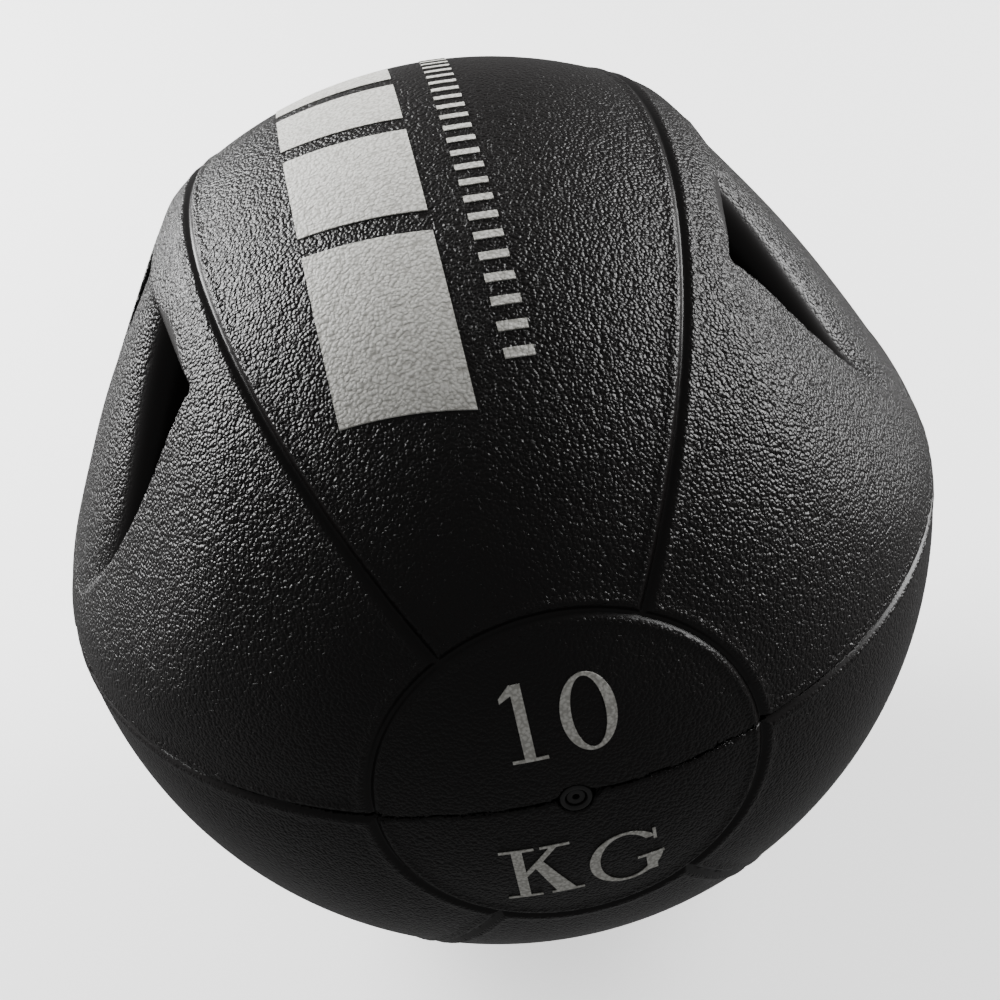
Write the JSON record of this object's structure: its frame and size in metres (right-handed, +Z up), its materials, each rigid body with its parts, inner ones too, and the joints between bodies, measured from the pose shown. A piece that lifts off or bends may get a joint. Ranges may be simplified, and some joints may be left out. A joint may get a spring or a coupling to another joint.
{
  "type": "medicine ball",
  "caption": "Heavy black rubber exercise ball with a recessed hand grip bar on each side, seam grooves, an end ring, an inflation valve and a printed weight.",
  "frame": {"origin": "centre of the ball's box, which is the centre of the ball and lies on the bond plane of its two halves", "axes": "+Z up, square to the bond plane and away from the fill; -Y out through the valve; +X towards the right grip"},
  "size_m": [0.275, 0.2859, 0.2753],
  "materials": {
    "shell_rubber": "satin",
    "grip_rubber": "satin",
    "valve_rubber": "matte",
    "fill_grit": "matte",
    "ink": "matte"
  },
  "bodies": {
    "root": {"upper_shell": "shell_rubber", "lower_shell": "shell_rubber", "right_grip_bar": "grip_rubber", "left_grip_bar": "grip_rubber", "valve_housing": "valve_rubber", "valve_core": "valve_rubber", "fill": "fill_grit", "weight_mark": "ink", "top_mark": "ink"}
  },
  "joints": []
}
